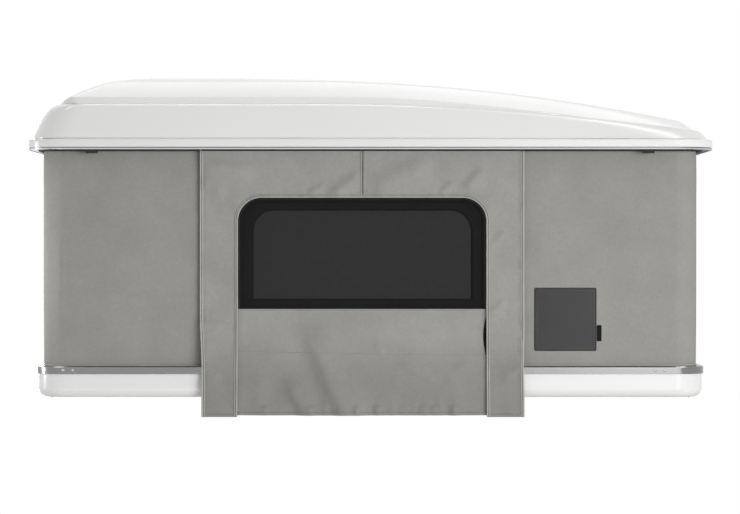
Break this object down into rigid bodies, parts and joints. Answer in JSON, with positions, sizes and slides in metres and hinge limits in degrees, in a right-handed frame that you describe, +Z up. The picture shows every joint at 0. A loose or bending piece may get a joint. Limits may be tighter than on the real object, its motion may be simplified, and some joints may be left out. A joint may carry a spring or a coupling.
{
  "type": "roof top tent",
  "caption": "Hard-shell tent for a car's roof bars: a moulded base tray and tapering roof shell joined by cloth walls with door, mesh windows and gas struts that lift the roof.",
  "frame": {"origin": "middle of the underside, centred between the four mounting bolts", "axes": "+X along the length towards the low end of the roof, front door on -Y, +Z up"},
  "size_m": [2.132, 1.301, 1.055],
  "materials": {
    "gelcoat": "white gelcoat on glass-fibre laminate",
    "rail_aluminium": "brushed",
    "rivet": "plain",
    "bright_trim": "bright rolled",
    "black_frame": "satin black powder coat",
    "black_rubber": "matte",
    "floor_board": "sealed ply faces",
    "mattress_cover": "woven cover",
    "liner_cloth": "quilted lining",
    "tent_cloth": "coated canvas, grey",
    "pale_binding": "woven tape",
    "black_cloth": "coated black cloth",
    "mesh": "insect mesh",
    "patch_cloth": "smooth patch cloth",
    "latch_steel": "brushed",
    "strut_black": "black",
    "strut_chrome": "polished"
  },
  "bodies": {
    "base": {"base_shell": "gelcoat", "base_rail": "rail_aluminium", "rail_rivets": "rivet", "mounting_rail_front": "rail_aluminium", "mounting_rail_rear": "rail_aluminium", "floor_panel": "floor_board", "mattress": "mattress_cover", "strut_foot_brackets": "black_frame", "wall_fabric": "tent_cloth", "door_surround_front": "tent_cloth", "door_surround_rear": "tent_cloth", "door_binding_front": "pale_binding", "door_binding_rear": "pale_binding", "zip_tape_front": "black_cloth", "zip_tape_rear": "black_cloth", "door_lower_panel_front": "tent_cloth", "door_lower_panel_rear": "tent_cloth", "window_border_front": "black_cloth", "window_border_rear": "black_cloth", "window_mesh_front": "mesh", "window_mesh_rear": "mesh", "end_window_border_left": "black_cloth", "end_window_border_right": "black_cloth", "end_window_mesh_left": "mesh", "end_window_mesh_right": "mesh", "end_window_binding_left": "pale_binding", "end_window_binding_right": "pale_binding", "sewn_patch": "patch_cloth", "patch_tab": "black_cloth", "latch_brackets": "latch_steel", "latch_pins": "latch_steel"},
    "roof": {"roof_shell": "gelcoat", "roof_frame": "black_frame", "roof_trim": "bright_trim", "roof_seal": "black_rubber", "roof_liner": "liner_cloth", "strut_head_brackets": "black_frame", "roof_buffers": "black_rubber", "latch_keepers": "latch_steel"},
    "strut_barrel_front_left": {"strut_barrel_front_left": "strut_black"},
    "strut_rod_front_left": {"strut_rod_front_left": "strut_chrome"},
    "strut_barrel_front_right": {"strut_barrel_front_right": "strut_black"},
    "strut_rod_front_right": {"strut_rod_front_right": "strut_chrome"},
    "strut_barrel_rear_left": {"strut_barrel_rear_left": "strut_black"},
    "strut_rod_rear_left": {"strut_rod_rear_left": "strut_chrome"},
    "strut_barrel_rear_right": {"strut_barrel_rear_right": "strut_black"},
    "strut_rod_rear_right": {"strut_rod_rear_right": "strut_chrome"},
    "door_flap_front": {"door_flap_front": "tent_cloth"},
    "door_flap_rear": {"door_flap_rear": "tent_cloth"},
    "latch_strap_left": {"latch_strap_left": "black_rubber"},
    "latch_strap_right": {"latch_strap_right": "black_rubber"}
  },
  "joints": [
    {"name": "roof_lift", "type": "slide", "parent": "base", "child": "roof", "axis": [0, 0, 1], "range_m": [-0.655, 0], "stiffness_N_per_m": 100, "springref_m": 4, "deforming": ["wall_fabric", "door_surround_front", "door_surround_rear", "door_binding_front", "door_binding_rear", "zip_tape_front", "zip_tape_rear", "door_lower_panel_front", "door_lower_panel_rear", "window_border_front", "window_border_rear", "window_mesh_front", "window_mesh_rear", "end_window_border_left", "end_window_border_right", "end_window_mesh_left", "end_window_mesh_right", "end_window_binding_left", "end_window_binding_right", "sewn_patch", "patch_tab", "door_flap_front", "door_flap_rear"]},
    {"name": "strut_tilt_front_left", "type": "hinge", "parent": "base", "child": "strut_barrel_front_left", "pos_m": [-0.9, -0.56, 0.112], "axis": [0, 1, 0], "range_deg": [0, 51.22]},
    {"name": "strut_stroke_front_left", "type": "slide", "parent": "strut_barrel_front_left", "child": "strut_rod_front_left", "axis": [0.5722, 0, 0.8201], "range_m": [-0.35826, 0]},
    {"name": "strut_tilt_front_right", "type": "hinge", "parent": "base", "child": "strut_barrel_front_right", "pos_m": [0.9, -0.56, 0.112], "axis": [0, -1, 0], "range_deg": [0, 51.22]},
    {"name": "strut_stroke_front_right", "type": "slide", "parent": "strut_barrel_front_right", "child": "strut_rod_front_right", "axis": [-0.5722, 0, 0.8201], "range_m": [-0.35826, 0]},
    {"name": "strut_tilt_rear_left", "type": "hinge", "parent": "base", "child": "strut_barrel_rear_left", "pos_m": [-0.9, 0.56, 0.112], "axis": [0, 1, 0], "range_deg": [0, 51.22]},
    {"name": "strut_stroke_rear_left", "type": "slide", "parent": "strut_barrel_rear_left", "child": "strut_rod_rear_left", "axis": [0.5722, 0, 0.8201], "range_m": [-0.35826, 0]},
    {"name": "strut_tilt_rear_right", "type": "hinge", "parent": "base", "child": "strut_barrel_rear_right", "pos_m": [0.9, 0.56, 0.112], "axis": [0, -1, 0], "range_deg": [0, 51.22]},
    {"name": "strut_stroke_rear_right", "type": "slide", "parent": "strut_barrel_rear_right", "child": "strut_rod_rear_right", "axis": [-0.5722, 0, 0.8201], "range_m": [-0.35826, 0]},
    {"name": "door_flap_front", "type": "hinge", "parent": "base", "child": "door_flap_front", "pos_m": [-0.024, -0.6034, 0.269], "axis": [-1, 0, 0], "range_deg": [0, 173.44]},
    {"name": "door_flap_rear", "type": "hinge", "parent": "base", "child": "door_flap_rear", "pos_m": [-0.024, 0.6034, 0.269], "axis": [1, 0, 0], "range_deg": [0, 173.44]},
    {"name": "latch_strap_left", "type": "hinge", "parent": "base", "child": "latch_strap_left", "pos_m": [-1.034, 0, 0.056], "axis": [0, 1, 0], "range_deg": [0, 154]},
    {"name": "latch_strap_right", "type": "hinge", "parent": "base", "child": "latch_strap_right", "pos_m": [1.034, 0, 0.056], "axis": [0, -1, 0], "range_deg": [0, 154]}
  ],
  "couplings": [
    {"joint": "strut_tilt_front_left", "follows": "roof_lift", "rad_per_m": -1.3633},
    {"joint": "strut_stroke_front_left", "follows": "roof_lift", "ratio": 0.5462},
    {"joint": "strut_tilt_front_right", "follows": "roof_lift", "rad_per_m": -1.3633},
    {"joint": "strut_stroke_front_right", "follows": "roof_lift", "ratio": 0.5462},
    {"joint": "strut_tilt_rear_left", "follows": "roof_lift", "rad_per_m": -1.3633},
    {"joint": "strut_stroke_rear_left", "follows": "roof_lift", "ratio": 0.5462},
    {"joint": "strut_tilt_rear_right", "follows": "roof_lift", "rad_per_m": -1.3633},
    {"joint": "strut_stroke_rear_right", "follows": "roof_lift", "ratio": 0.5462}
  ]
}
